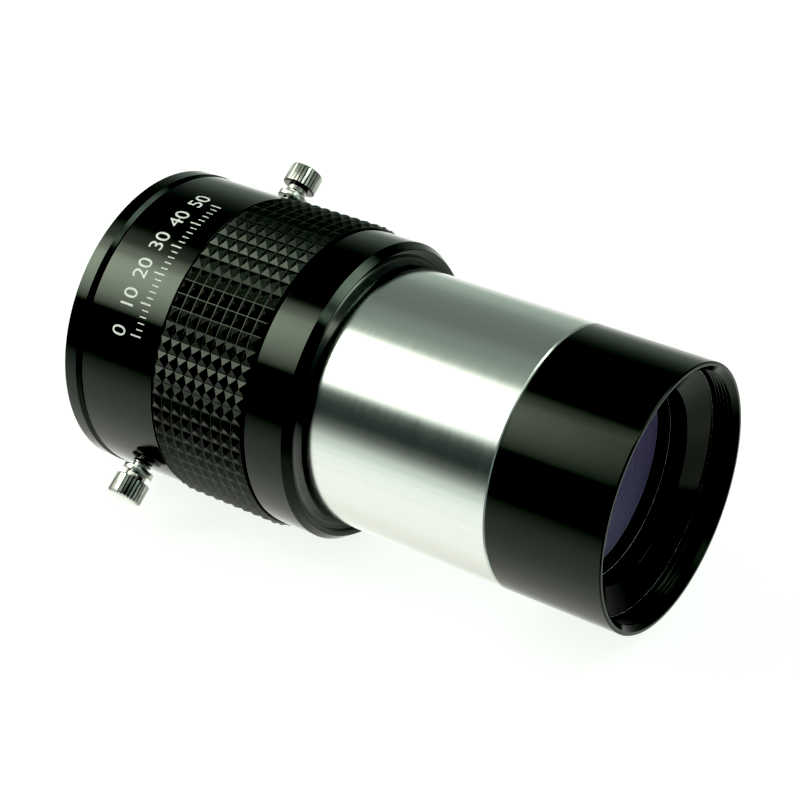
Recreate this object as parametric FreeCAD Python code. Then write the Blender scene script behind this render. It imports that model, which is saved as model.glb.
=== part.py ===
import FreeCAD, Part
import math
import os

# Two-inch, two-times barlow lens. Millimetres. The optical axis is X, and +X points out of
# the front (telescope) end. The origin is on the axis at the housing's flat front face, the
# shoulder that stops against a focuser when the barrel is pushed home. Z is up.

V = FreeCAD.Vector
AXIS = V(1, 0, 0)

# ---- driving dimensions --------------------------------------------------------------
BARREL_R = 25.4             # two-inch barrel
SOCKET_R = 25.5             # two-inch eyepiece socket
TIP_X = 62.6                # front rim of the lens cell
CELL_BACK_X = 39.6          # black lens cell meets the bright barrel here
SPIGOT_LENGTH = 6.0         # cell's threaded spigot inside the barrel
SPIGOT_R = 24.4
TUBE_BORE_R = 23.9
TUBE_CHAMFER = 0.5          # bright edge where the tube meets the lens cell

FILTER_PITCH = 0.75         # M48 x 0.75 filter thread
FILTER_CREST_R = 23.62
FILTER_ROOT_R = 24.0
FILTER_TURNS = 4
RIM_CHAMFER = 1.0
RELIEF_X = 58.5             # thread relief groove, front edge
RELIEF_WIDTH = 0.8
RELIEF_R = 24.2

RETAINER_FRONT_X = 57.7     # funnel-faced lens retaining ring
RETAINER_BACK_X = 51.6
RETAINER_RIM_R = 23.5
RETAINER_THROAT_X = 54.95
RETAINER_BORE_R = 18.75
SPANNER_SLOT_WIDTH = 1.6
SPANNER_SLOT_DEPTH = 1.4
SPANNER_SLOT_INNER_R = 20.6
SPANNER_SLOT_DEG = (-35.0, 145.0)
POCKET_R = 20.55            # lens pocket in the cell
LENS_R = 20.5
SEAT_FRONT_X = 51.4         # tapered ring between the retainer and the glass
SEAT_BACK_X = 49.1
SEAT_FRONT_BORE_R = 18.9
SEAT_BACK_BORE_R = 18.2
CELL_SHOULDER_R = 18.8      # shoulder behind the rear element

FRONT_ELEMENT_R1 = 60.0     # concave, faces the telescope
FRONT_ELEMENT_R2 = 70.0     # concave, faces the eyepiece
FRONT_ELEMENT_THICKNESS = 2.2
POLISHED_R = 19.5           # clear part of the surfaces between the elements
SPACER_THICKNESS = 0.3
REAR_ELEMENT_R3 = 68.0      # convex, faces the front element
REAR_ELEMENT_R4 = 200.0     # concave, faces the eyepiece
REAR_ELEMENT_THICKNESS = 5.5

BAFFLE_X = 14.0             # light baffle inside the barrel
BAFFLE_THICKNESS = 1.2
BAFFLE_APERTURE_R = 19.5
BAFFLE_EDGE = 0.1           # thickness left at the aperture

COLLAR_FACE_R = 28.4        # flat annular shoulder at the origin
COLLAR_R = 29.5
COLLAR_CHAMFER_LENGTH = 1.6
BARREL_THREAD_R = 24.9
BARREL_THREAD_END_X = -9.5
SOCKET_STOP_X = -12.5       # eyepiece barrels bottom on this inner shoulder
SOCKET_STOP_R = 24.0
CHANNEL_FRONT_X = -10.1     # channel that holds the rubber grip
CHANNEL_BACK_X = -31.75
CHANNEL_R = 28.3
BAND_R = 29.9
HOUSING_BACK_X = -49.1
EDGE_CHAMFER = 0.25

GRIP_FRONT_X = -10.55
GRIP_BACK_X = -31.7
GRIP_BASE_R = 29.8
GRIP_PEAK_R = 30.4
GRIP_ROWS = 66              # pyramids around
GRIP_COLUMNS = 9            # pyramids along
GRIP_FIRST_GROOVE_DEG = 134.0
GRIP_GROOVE_HALF = 0.16     # half width of the flat between two pyramids

COUNTERBORE_X = -37.0       # rear counterbore for the compression ring and end ring
COUNTERBORE_R = 27.2
CLAMP_RING_R = 27.1
CLAMP_RING_BORE_R = SOCKET_R
CLAMP_RING_BACK_X = -44.8
CLAMP_RING_GAP_DEG = 7.0
CLAMP_RING_GAP_AT_DEG = 127.0

END_RING_R = 30.1
END_RING_FRONT_X = -49.6
END_RING_FRONT_R = 29.5     # front edge of the wide chamfer
END_RING_SHOULDER_X = -50.45
END_RING_BACK_X = -53.3
END_RING_NOSE_X = -45.0
END_RING_MOUTH_CHAMFER = 0.8

SCREW_X = -40.6             # both thumbscrews, on opposite sides
SCREW_DEG = {"upper": 37.0, "lower": 217.0}
HEAD_BOTTOM = {"upper": 34.9, "lower": 33.6}      # head's inner face, from the axis
WASHER_TOP = {"upper": 32.95, "lower": 32.35}     # captive washer's outer face
HEAD_R = 3.55
HEAD_FLUTE_R = 3.28
HEAD_FLUTES = 28
HEAD_HEIGHT = 4.2
HEAD_EDGE = 0.45            # bevel round the outer face
HEAD_INNER_EDGE = 0.15      # bevel round the inner face
NECK_R = 2.1
NECK_LENGTH = 1.2
WASHER_GROOVE_R = 1.75
WASHER_GROOVE_LENGTH = 1.95
THREAD_R = 2.0              # M4
THREAD_LENGTH = 3.3
POINT_R = 1.5
POINT_LENGTH = 0.6
SCREW_HOLE_R = 2.05
SCREW_HOLE_SINK = 0.6
WASHER_R = 3.12
WASHER_BORE_R = 1.8
WASHER_THICKNESS = 1.15
WASHER_BEVEL = 0.12

OVERLAP = 0.5               # how far a solid runs into the one it is fused to
CLEAR = 1.0                 # how far a cutting solid runs past the face it cuts


# ---- helpers -------------------------------------------------------------------------
def revolve(points):
    """Solid of revolution about X from a closed outline of (x, radius) points."""
    outline = [V(x, 0, r) for x, r in points]
    wire = Part.makePolygon(outline + outline[:1])
    return Part.Face(wire).revolve(V(0, 0, 0), AXIS, 360)


def radial(angle_deg):
    """Unit vector square to the axis: 0 is +Y, 90 is +Z."""
    a = math.radians(angle_deg)
    return V(0, math.cos(a), math.sin(a))


def polar(x, r, angle_deg):
    return V(x, 0, 0) + radial(angle_deg) * r


def stand(shape, name):
    """Turn a shape built along +Z so that it stands out of the housing at one screw."""
    shape.rotate(V(0, 0, 0), AXIS, SCREW_DEG[name] - 90)
    shape.translate(V(SCREW_X, 0, 0))
    return shape


def turned(points):
    """Solid of revolution about Z from a closed outline of (radius, z) points."""
    outline = [V(r, 0, z) for r, z in points]
    wire = Part.makePolygon(outline + outline[:1])
    return Part.Face(wire).revolve(V(0, 0, 0), V(0, 0, 1), 360)


def dish(r_edge, curvature):
    """Depth of a spherical surface at a given radius."""
    return curvature - math.sqrt(curvature ** 2 - r_edge ** 2)


def ball(x_centre, curvature):
    return Part.makeSphere(curvature, V(x_centre, 0, 0))


# ---- front end -----------------------------------------------------------------------
def filter_thread():
    """Bore outline of the filter thread, from its inner end out to the rim chamfer."""
    flat = FILTER_PITCH / 4
    points = []
    for turn in range(FILTER_TURNS):
        start = RELIEF_X + flat + turn * FILTER_PITCH
        points += [(start, FILTER_CREST_R), (start + flat, FILTER_ROOT_R),
                   (start + 2 * flat, FILTER_ROOT_R), (start + 3 * flat, FILTER_CREST_R)]
    return points


def lens_cell():
    spigot_x = CELL_BACK_X - SPIGOT_LENGTH
    shoulder_x = rear_rim_x()
    rim_x = TIP_X - RIM_CHAMFER
    relief_back = RELIEF_X - RELIEF_WIDTH
    return revolve([
        (spigot_x, CELL_SHOULDER_R), (spigot_x, SPIGOT_R), (CELL_BACK_X, SPIGOT_R),
        (CELL_BACK_X, BARREL_R), (TIP_X - EDGE_CHAMFER, BARREL_R), (TIP_X, BARREL_R - EDGE_CHAMFER),
        (TIP_X, FILTER_CREST_R + RIM_CHAMFER), (rim_x, FILTER_CREST_R),
        *reversed(filter_thread()),
        (RELIEF_X, FILTER_CREST_R), (RELIEF_X, RELIEF_R), (relief_back, RELIEF_R),
        (relief_back, FILTER_ROOT_R), (RETAINER_BACK_X, FILTER_ROOT_R),
        (RETAINER_BACK_X, POCKET_R), (shoulder_x, POCKET_R), (shoulder_x, CELL_SHOULDER_R)])


def lens_retaining_ring():
    """Threaded ring with a funnel face and two spanner slots."""
    ring = revolve([
        (RETAINER_FRONT_X, FILTER_ROOT_R), (RETAINER_FRONT_X, RETAINER_RIM_R),
        (RETAINER_THROAT_X, RETAINER_BORE_R), (SEAT_FRONT_X, RETAINER_BORE_R),
        (SEAT_FRONT_X, LENS_R), (RETAINER_BACK_X, LENS_R), (RETAINER_BACK_X, FILTER_ROOT_R)])
    corner = V(RETAINER_FRONT_X - SPANNER_SLOT_DEPTH, -SPANNER_SLOT_WIDTH / 2, SPANNER_SLOT_INNER_R)
    height = RELIEF_R - SPANNER_SLOT_INNER_R
    for angle in SPANNER_SLOT_DEG:
        slot = Part.makeBox(SPANNER_SLOT_DEPTH, SPANNER_SLOT_WIDTH, height, corner)
        slot.rotate(V(0, 0, 0), AXIS, angle - 90)
        ring = ring.cut(slot)
    return ring


def lens_seat_ring():
    return revolve([(SEAT_FRONT_X, LENS_R), (SEAT_FRONT_X, SEAT_FRONT_BORE_R),
                    (SEAT_BACK_X, SEAT_BACK_BORE_R), (SEAT_BACK_X, LENS_R)])


def front_vertices():
    """Axis crossings of the front element's two surfaces."""
    front = SEAT_BACK_X - dish(SEAT_BACK_BORE_R, FRONT_ELEMENT_R1)
    return front, front - FRONT_ELEMENT_THICKNESS


def front_rim_x():
    return front_vertices()[1] - dish(POLISHED_R, FRONT_ELEMENT_R2)


def rear_vertices():
    rim_x = front_rim_x() - SPACER_THICKNESS
    front = rim_x + dish(POLISHED_R, REAR_ELEMENT_R3)
    return front, front - REAR_ELEMENT_THICKNESS


def rear_rim_x():
    return rear_vertices()[1] - dish(LENS_R, REAR_ELEMENT_R4)


def front_lens_element():
    """Double-concave negative element, flat on both rims."""
    v1, v2 = front_vertices()
    blank = Part.makeCylinder(LENS_R, SEAT_BACK_X - front_rim_x(), V(front_rim_x(), 0, 0), AXIS)
    return blank.cut(ball(v1 + FRONT_ELEMENT_R1, FRONT_ELEMENT_R1)).cut(
        ball(v2 - FRONT_ELEMENT_R2, FRONT_ELEMENT_R2))


def lens_spacer_ring():
    x = front_rim_x()
    return revolve([(x, LENS_R), (x, POLISHED_R), (x - SPACER_THICKNESS, POLISHED_R),
                    (x - SPACER_THICKNESS, LENS_R)])


def rear_lens_element():
    """Positive meniscus that corrects the colour of the front element."""
    v3, v4 = rear_vertices()
    rim_x = front_rim_x() - SPACER_THICKNESS
    blank = Part.makeCylinder(LENS_R, v3 - rear_rim_x(), V(rear_rim_x(), 0, 0), AXIS)
    dome = blank.common(ball(v3 - REAR_ELEMENT_R3, REAR_ELEMENT_R3))
    rim_cut = revolve([(rim_x, POLISHED_R), (v3 + CLEAR, POLISHED_R),
                       (v3 + CLEAR, LENS_R + CLEAR), (rim_x, LENS_R + CLEAR)])
    return dome.cut(rim_cut).cut(ball(v4 - REAR_ELEMENT_R4, REAR_ELEMENT_R4))


# ---- barrel --------------------------------------------------------------------------
def barrel_tube():
    spigot_x = CELL_BACK_X - SPIGOT_LENGTH
    return revolve([
        (CELL_BACK_X, SPIGOT_R), (CELL_BACK_X, BARREL_R - TUBE_CHAMFER),
        (CELL_BACK_X - TUBE_CHAMFER, BARREL_R),
        (0, BARREL_R), (0, BARREL_THREAD_R), (BARREL_THREAD_END_X, BARREL_THREAD_R),
        (BARREL_THREAD_END_X, TUBE_BORE_R), (spigot_x, TUBE_BORE_R), (spigot_x, SPIGOT_R)])


def light_baffle():
    """Ring with a knife edge towards the light path."""
    back = BAFFLE_X - BAFFLE_THICKNESS
    return revolve([
        (BAFFLE_X, TUBE_BORE_R), (BAFFLE_X, BAFFLE_APERTURE_R + BAFFLE_THICKNESS),
        (back + BAFFLE_EDGE, BAFFLE_APERTURE_R), (back, BAFFLE_APERTURE_R), (back, TUBE_BORE_R)])


# ---- housing -------------------------------------------------------------------------
def screw_hole(name):
    """Through hole for one thumbscrew, with a countersunk mouth."""
    start = COUNTERBORE_R - CLEAR
    mouth = SCREW_HOLE_R + SCREW_HOLE_SINK
    outside = BAND_R + CLEAR
    hole = turned([(0, start), (SCREW_HOLE_R, start), (SCREW_HOLE_R, BAND_R - SCREW_HOLE_SINK),
                   (mouth, BAND_R), (mouth, outside), (0, outside)])
    return stand(hole, name)


def housing():
    body = revolve([
        (0, BARREL_THREAD_R), (0, COLLAR_FACE_R), (-COLLAR_CHAMFER_LENGTH, COLLAR_R),
        (CHANNEL_FRONT_X + EDGE_CHAMFER, COLLAR_R), (CHANNEL_FRONT_X, COLLAR_R - EDGE_CHAMFER),
        (CHANNEL_FRONT_X, CHANNEL_R), (CHANNEL_BACK_X, CHANNEL_R),
        (CHANNEL_BACK_X, BAND_R - EDGE_CHAMFER), (CHANNEL_BACK_X - EDGE_CHAMFER, BAND_R),
        (HOUSING_BACK_X + EDGE_CHAMFER, BAND_R), (HOUSING_BACK_X, BAND_R - EDGE_CHAMFER),
        (HOUSING_BACK_X, COUNTERBORE_R), (COUNTERBORE_X, COUNTERBORE_R),
        (COUNTERBORE_X, SOCKET_R), (SOCKET_STOP_X, SOCKET_R), (SOCKET_STOP_X, SOCKET_STOP_R),
        (BARREL_THREAD_END_X, SOCKET_STOP_R), (BARREL_THREAD_END_X, BARREL_THREAD_R)])
    for name in SCREW_DEG:
        body = body.cut(screw_hole(name))
    return body


def grip_sleeve():
    """Rubber sleeve: a plain ring with rows and columns of small pyramids standing on it."""
    step = 360.0 / GRIP_ROWS
    pitch = (GRIP_FRONT_X - GRIP_BACK_X) / GRIP_COLUMNS
    edge = math.degrees(GRIP_GROOVE_HALF / GRIP_BASE_R)
    faces = []

    def flat(*corners):
        faces.append(Part.Face(Part.makePolygon(list(corners) + [corners[0]])))

    def at(x, angle):
        return polar(x, GRIP_BASE_R, angle)

    for row in range(GRIP_ROWS):
        a0 = GRIP_FIRST_GROOVE_DEG + row * step
        a1 = a0 + step
        low, high, middle = a0 + edge, a1 - edge, (a0 + a1) / 2
        for column in range(GRIP_COLUMNS):
            x0 = GRIP_FRONT_X - column * pitch
            x1 = x0 - pitch
            front, back = x0 - GRIP_GROOVE_HALF, x1 + GRIP_GROOVE_HALF
            peak = polar((x0 + x1) / 2, GRIP_PEAK_R, middle)
            foot = [at(front, low), at(front, high), at(back, high), at(back, low)]
            for i in range(4):
                flat(foot[i], foot[(i + 1) % 4], peak)
            flat(at(x0, low), at(x0, high), foot[1], foot[0])
            flat(foot[3], foot[2], at(x1, high), at(x1, low))
            next_low = at(x0, a1 + edge), at(front, a1 + edge), at(back, a1 + edge), at(x1, a1 + edge)
            flat(at(x0, high), next_low[0], next_low[1], foot[1])
            flat(foot[1], next_low[1], next_low[2], foot[2])
            flat(foot[2], next_low[2], next_low[3], at(x1, high))
    for x in (GRIP_FRONT_X, GRIP_BACK_X):
        rim = []
        for row in range(GRIP_ROWS):
            a0 = GRIP_FIRST_GROOVE_DEG + row * step
            rim += [at(x, a0 + edge), at(x, a0 + step - edge)]
        flat(*rim)
    sleeve = Part.makeSolid(Part.makeShell(faces))
    bore_length = GRIP_FRONT_X - GRIP_BACK_X + 2 * CLEAR
    bore = Part.makeCylinder(CHANNEL_R, bore_length, V(GRIP_BACK_X - CLEAR, 0, 0), AXIS)
    return sleeve.cut(bore)


def compression_ring():
    """Split brass ring that the thumbscrews push against the eyepiece barrel."""
    ring = revolve([(COUNTERBORE_X, CLAMP_RING_R), (COUNTERBORE_X, CLAMP_RING_BORE_R),
                    (CLAMP_RING_BACK_X, CLAMP_RING_BORE_R), (CLAMP_RING_BACK_X, CLAMP_RING_R)])
    gap = CLAMP_RING_R * math.radians(CLAMP_RING_GAP_DEG)
    width = COUNTERBORE_X - CLAMP_RING_BACK_X + 2 * CLEAR
    corner = V(CLAMP_RING_BACK_X - CLEAR, -gap / 2, 0)
    cutter = Part.makeBox(width, gap, CLAMP_RING_R + CLEAR, corner)
    cutter.rotate(V(0, 0, 0), AXIS, CLAMP_RING_GAP_AT_DEG - 90)
    return ring.cut(cutter)


def end_ring():
    """Ring that screws into the housing and keeps the compression ring in."""
    lip = END_RING_MOUTH_CHAMFER
    return revolve([
        (END_RING_NOSE_X, SOCKET_R), (END_RING_NOSE_X, COUNTERBORE_R),
        (END_RING_FRONT_X, COUNTERBORE_R), (END_RING_FRONT_X, END_RING_FRONT_R),
        (END_RING_SHOULDER_X, END_RING_R), (END_RING_BACK_X + EDGE_CHAMFER, END_RING_R),
        (END_RING_BACK_X, END_RING_R - EDGE_CHAMFER), (END_RING_BACK_X, SOCKET_R + lip),
        (END_RING_BACK_X + lip, SOCKET_R)])


# ---- thumbscrews ---------------------------------------------------------------------
def fluted_head(bottom):
    """Fluted cylinder with its outer edges rounded off by short bevels."""
    points = []
    for i in range(2 * HEAD_FLUTES):
        r = HEAD_R if i % 2 == 0 else HEAD_FLUTE_R
        a = math.pi * i / HEAD_FLUTES
        points.append(V(r * math.cos(a), r * math.sin(a), bottom))
    star = Part.Face(Part.makePolygon(points + points[:1])).extrude(V(0, 0, HEAD_HEIGHT))
    top, inner = bottom + HEAD_HEIGHT, HEAD_R - HEAD_EDGE
    envelope = turned([
        (0, bottom), (HEAD_R - HEAD_INNER_EDGE, bottom), (HEAD_R, bottom + HEAD_INNER_EDGE),
        (HEAD_R, top - HEAD_EDGE), (inner, top), (0, top)])
    return star.common(envelope)


def thumbscrew(name):
    head_bottom = HEAD_BOTTOM[name]
    neck_end = head_bottom - NECK_LENGTH
    thread_top = neck_end - WASHER_GROOVE_LENGTH
    tip = thread_top - THREAD_LENGTH
    stem = turned([
        (0, head_bottom + OVERLAP), (NECK_R, head_bottom + OVERLAP), (NECK_R, neck_end),
        (WASHER_GROOVE_R, neck_end), (WASHER_GROOVE_R, thread_top), (THREAD_R, thread_top),
        (THREAD_R, tip + POINT_LENGTH), (POINT_R, tip), (0, tip)])
    return stand(fluted_head(head_bottom).fuse(stem).removeSplitter(), name)


def thumbscrew_washer(name):
    top = WASHER_TOP[name]
    bottom = top - WASHER_THICKNESS
    flat_r = WASHER_R - WASHER_BEVEL
    ring = turned([
        (WASHER_BORE_R, bottom), (flat_r, bottom), (WASHER_R, bottom + WASHER_BEVEL),
        (WASHER_R, top - WASHER_BEVEL), (flat_r, top), (WASHER_BORE_R, top)])
    return stand(ring, name)


# ---- assembly ------------------------------------------------------------------------
def pieces():
    found = {
        "lens_cell": lens_cell(),
        "lens_retaining_ring": lens_retaining_ring(),
        "lens_seat_ring": lens_seat_ring(),
        "front_lens_element": front_lens_element(),
        "lens_spacer_ring": lens_spacer_ring(),
        "rear_lens_element": rear_lens_element(),
        "barrel_tube": barrel_tube(),
        "light_baffle": light_baffle(),
        "housing": housing(),
        "grip_sleeve": grip_sleeve(),
        "compression_ring": compression_ring(),
        "end_ring": end_ring(),
    }
    for name in SCREW_DEG:
        found["thumbscrew_" + name] = thumbscrew(name)
        found["thumbscrew_washer_" + name] = thumbscrew_washer(name)
    return found


def main():
    os.makedirs("parts", exist_ok=True)
    for name, shape in pieces().items():
        if not shape.isValid() or shape.Volume <= 0:
            raise RuntimeError(name + " is not a valid solid")
        shape.exportStep("parts/" + name + ".step")
        print(name, round(shape.Volume / 1000, 3), "cm3")


main()
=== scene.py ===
import math

import bmesh
import bpy
import numpy as np
from mathutils import Matrix, Vector

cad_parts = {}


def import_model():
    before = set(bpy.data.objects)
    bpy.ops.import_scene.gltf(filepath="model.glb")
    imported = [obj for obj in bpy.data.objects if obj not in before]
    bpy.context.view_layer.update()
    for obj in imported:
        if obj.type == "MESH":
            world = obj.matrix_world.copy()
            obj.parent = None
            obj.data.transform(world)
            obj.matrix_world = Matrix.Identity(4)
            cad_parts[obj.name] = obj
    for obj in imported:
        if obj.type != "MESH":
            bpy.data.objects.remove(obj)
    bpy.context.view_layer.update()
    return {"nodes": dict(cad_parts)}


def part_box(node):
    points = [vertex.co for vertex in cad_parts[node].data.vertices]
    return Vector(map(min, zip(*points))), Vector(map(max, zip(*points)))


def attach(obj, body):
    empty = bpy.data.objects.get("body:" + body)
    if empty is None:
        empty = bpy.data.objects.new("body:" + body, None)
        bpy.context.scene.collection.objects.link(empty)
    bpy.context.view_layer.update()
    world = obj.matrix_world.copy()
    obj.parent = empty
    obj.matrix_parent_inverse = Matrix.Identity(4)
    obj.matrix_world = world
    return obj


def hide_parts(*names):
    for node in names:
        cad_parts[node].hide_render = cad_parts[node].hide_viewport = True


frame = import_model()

# A two-inch barlow lens lying on a pale table. Outlines are written in millimetres and are
# scaled to metres as they are built. The optical axis is X, +X is the front, and Z is up.
# Angles round the axis start at +Y and turn towards +Z.

MM = 0.001
SEGMENTS = 288              # facets round every turned piece
LENS_SEGMENTS = 144
WASHER_SEGMENTS = 128
HOLE_SEGMENTS = 64
SHARP_DEG = 32              # edges that bend more than this stay sharp
FLAT_WEIGHT = 60            # how strongly large faces decide the shading's normals
SIDE_SHARE = 0.45           # the most of a side that one rounded corner takes up


# ---- measures taken from the frame ----------------------------------------------------
def span(node, axis=0):
    """Lowest and highest coordinate of a CAD node along one axis, in millimetres."""
    low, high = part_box(node)
    return low[axis] / MM, high[axis] / MM


def outer_r(node):
    """Largest distance of a CAD node's points from the optical axis, in millimetres."""
    points = frame["nodes"][node].data.vertices
    return max(math.hypot(p.co.y, p.co.z) for p in points) / MM


CELL_SPIGOT_X, TIP_X = span("lens_cell")
TUBE_BACK_X, CELL_BACK_X = span("barrel_tube")
RETAINER_BACK_X, RETAINER_FRONT_X = span("lens_retaining_ring")
SEAT_BACK_X, SEAT_FRONT_X = span("lens_seat_ring")
LENS_BACK_X = span("front_lens_element")[0]
REAR_LENS_BACK_X = span("rear_lens_element")[0]
BAFFLE_BACK_X, BAFFLE_FRONT_X = span("light_baffle")
HOUSING_BACK_X = span("housing")[0]
GRIP_BACK_X, GRIP_FRONT_X = span("grip_sleeve")
CLAMP_BACK_X, CLAMP_FRONT_X = span("compression_ring")
END_BACK_X, END_NOSE_X = span("end_ring")
BARREL_R = outer_r("barrel_tube")
BAND_R = outer_r("housing")
GRIP_PEAK_R = outer_r("grip_sleeve")
CLAMP_RING_R = outer_r("compression_ring")
END_RING_R = outer_r("end_ring")

# ---- radii and stations inside the pieces ---------------------------------------------
SPIGOT_R = 24.4
TUBE_BORE_R = 23.9
FILTER_PITCH = 0.75
FILTER_CREST_R = 23.62
FILTER_ROOT_R = 24.0
RIM_CHAMFER = 1.0
RELIEF_X = 58.5
RELIEF_R = 24.2
POCKET_R = 20.55
CELL_SHOULDER_R = 18.8
RETAINER_RIM_R = 23.5
RETAINER_THROAT_X = 54.95
RETAINER_BORE_R = 18.75
RETAINER_GROOVES_X = (54.3, 53.6)
RETAINER_FLANGE = 0.2
WORN_HIGHLIGHT_STRIP = 0.16           # bare edge at the back of the retaining ring's bore, painted light grey as a painted highlight
SPANNER_SLOT_DEG = (-35.0, 145.0)
TUBE_CHAMFER = 0.5
SEAT_FRONT_BORE_R = 18.9
SEAT_BACK_BORE_R = 18.2
LENS_GAP = 0.01             # hairline between the glass and the rings that hold it
SPACER_THICKNESS = 0.3
LENS_CAP_R = 0.15           # a flat cap closes each lens surface inside this radius
LENS_R = 20.5
POLISHED_R = 19.5
FRONT_R1, FRONT_R2 = 60.0, 70.0     # curvature of the front element's two surfaces
REAR_R3, REAR_R4 = 68.0, 200.0      # and of the rear element's
COLLAR_FACE_X = 0.0
COLLAR_FACE_R = 28.4
COLLAR_R = 29.5
COLLAR_CHAMFER_X = -1.6
BARREL_THREAD_R = 24.9
SOCKET_STOP_X = -12.5
SOCKET_STOP_R = 24.0
SOCKET_R = 25.5
CHANNEL_FRONT_X, CHANNEL_BACK_X = -10.1, -31.75
CHANNEL_R = 28.3
COUNTERBORE_R = 27.2
END_RING_FRONT_X, END_RING_SHOULDER_X = -49.6, -50.45
END_RING_FRONT_R = 29.5
END_RING_LEAD_IN = 0.8      # bevel that guides an eyepiece into the socket
BAFFLE_APERTURE_R = 19.5
BAFFLE_TAPER, BAFFLE_LIP = 1.2, 0.1
GRIP_BASE_R = 29.8
GRIP_ROWS, GRIP_COLUMNS = 66, 9
GRIP_FIRST_GROOVE = 134.0
CLAMP_GAP, CLAMP_GAP_AT = 7.0, 127.0

SCREW_X = -40.6
SCREW_DEG = {"upper": 37.0, "lower": 217.0}
HEAD_BOTTOM = {"upper": 34.9, "lower": 33.6}
WASHER_TOP = {"upper": 32.95, "lower": 32.35}
HEAD_R, HEAD_FLUTE_R, HEAD_FLUTES, HEAD_HEIGHT = 3.52, 3.12, 28, 4.2
HEAD_FOOT_BEVEL = ((0.0, 0.3), (0.05, 0.12), (0.18, 0.0))       # (distance up, drop in radius)
HEAD_TOP_BEVEL = ((0.5, 0.0), (0.3, 0.07), (0.14, 0.24), (0.04, 0.42), (0.0, 0.62))
HEAD_TOP_RINGS = (1.2, 0.2)
HEAD_FLUTE_FACETS = 10      # facets of each flute
FLUTE_GAIN = 1.7            # above 1, the ridges are flatter and wider than the valleys
NECK_R, NECK_LENGTH = 2.1, 1.2
GROOVE_R, GROOVE_LENGTH = 1.75, 1.95
THREAD_R, THREAD_LENGTH, THREAD_PITCH, THREAD_DEPTH = 2.0, 3.3, 0.7, 0.38
THREAD_LEAD = 0.1           # plain stretch, and bevel, at the ends of a screw's thread
POINT_R, POINT_LENGTH = 1.5, 0.6
SCREW_HOLE_R = 2.05
SCREW_HOLE_SINK = 0.6
WASHER_R, WASHER_BORE_R, WASHER_THICKNESS = 3.12, 1.8, 1.15


# ---- mesh helpers ---------------------------------------------------------------------
# Faces of a block whose corners come from three nested pairs, where the last changes first.
BLOCK_FACES = [(0, 1, 3, 2), (4, 6, 7, 5), (0, 4, 5, 1), (2, 3, 7, 6), (0, 2, 6, 4), (1, 5, 7, 3)]


def new_object(name, mesh):
    piece = bpy.data.objects.new(name, mesh)
    bpy.context.scene.collection.objects.link(piece)
    return piece


def mesh_object(name, vertices, faces, sharp_deg=SHARP_DEG):
    """A mesh in metres from vertices in millimetres, smooth but for its sharp edges."""
    mesh = bpy.data.meshes.new(name)
    mesh.from_pydata((np.asarray(vertices, float) * MM).tolist(), [], faces)
    mesh.validate()
    bm = bmesh.new()
    bm.from_mesh(mesh)
    bmesh.ops.recalc_face_normals(bm, faces=bm.faces)
    bm.to_mesh(mesh)
    bm.free()
    mesh.shade_smooth()
    mesh.set_sharp_from_angle(angle=math.radians(sharp_deg))
    return new_object(name, mesh)


def even_shading(piece):
    """Flat faces keep their own normal, so that only the rounded edges turn the light."""
    weighted = piece.modifiers.new("even_shading", "WEIGHTED_NORMAL")
    weighted.keep_sharp = True
    weighted.weight = FLAT_WEIGHT
    return piece


def corner(before, at, after, radius, steps=4):
    """Arc of a given radius that rounds one corner of an outline."""
    b, p, a = (np.array(v, float) for v in (before, at, after))
    u, v = (b - p), (a - p)
    lu, lv = np.linalg.norm(u), np.linalg.norm(v)
    u, v = u / lu, v / lv
    half = math.acos(max(-1.0, min(1.0, float(u @ v)))) / 2
    reach = min(radius / math.tan(half), SIDE_SHARE * lu, SIDE_SHARE * lv)
    r = reach * math.tan(half)
    centre = p + (u + v) / np.linalg.norm(u + v) * (r / math.sin(half))
    start, end = p + u * reach - centre, p + v * reach - centre
    turn = math.pi - 2 * half
    side = 1 if start[0] * end[1] - start[1] * end[0] > 0 else -1
    points = []
    for i in range(steps + 1):
        t = side * turn * i / steps
        c, s = math.cos(t), math.sin(t)
        points.append(tuple(centre + (start[0] * c - start[1] * s, start[0] * s + start[1] * c)))
    return points


def rounded(outline, closed=True):
    """An outline of (x, r) or (x, r, edge radius) with those corners rounded."""
    points = []
    count = len(outline)
    for i, entry in enumerate(outline):
        ends = not closed and i in (0, count - 1)
        if len(entry) == 3 and entry[2] > 0 and not ends:
            points += corner(outline[i - 1][:2], entry[:2], outline[(i + 1) % count][:2], entry[2])
        else:
            points.append(entry[:2])
    return points


def turn_rows(name, rows, closed=True, segments=SEGMENTS):
    """Surface of revolution about X. A row is (x, r), where r may be an array, one radius for
    each segment. An open outline gets a flat cap at each end."""
    angle = np.arange(segments) * 2 * math.pi / segments
    vertices = []
    for x, r in rows:
        ring = np.empty((segments, 3))
        ring[:, 0] = x
        ring[:, 1] = r * np.cos(angle)
        ring[:, 2] = r * np.sin(angle)
        vertices.append(ring)
    faces = []
    last = len(rows) if closed else len(rows) - 1
    for i in range(last):
        a, b = i * segments, (i + 1) % len(rows) * segments
        for j in range(segments):
            k = (j + 1) % segments
            faces.append((a + j, a + k, b + k, b + j))
    if not closed:
        faces.append(tuple(range(segments))[::-1])
        faces.append(tuple(range((len(rows) - 1) * segments, len(rows) * segments)))
    return mesh_object(name, np.concatenate(vertices), faces)


def turned(name, outline, segments=SEGMENTS):
    """Turned piece from a closed outline whose corners may be rounded."""
    return even_shading(turn_rows(name, rounded(outline), segments=segments))


def arc_points(centre_x, radius, r_from, r_to, side, steps=14):
    """Points of a spherical surface's outline. side is +1 where the centre lies behind it."""
    points = []
    for i in range(steps + 1):
        r = r_from + (r_to - r_from) * i / steps
        points.append((centre_x + side * math.sqrt(radius ** 2 - r ** 2), r))
    return points


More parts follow.
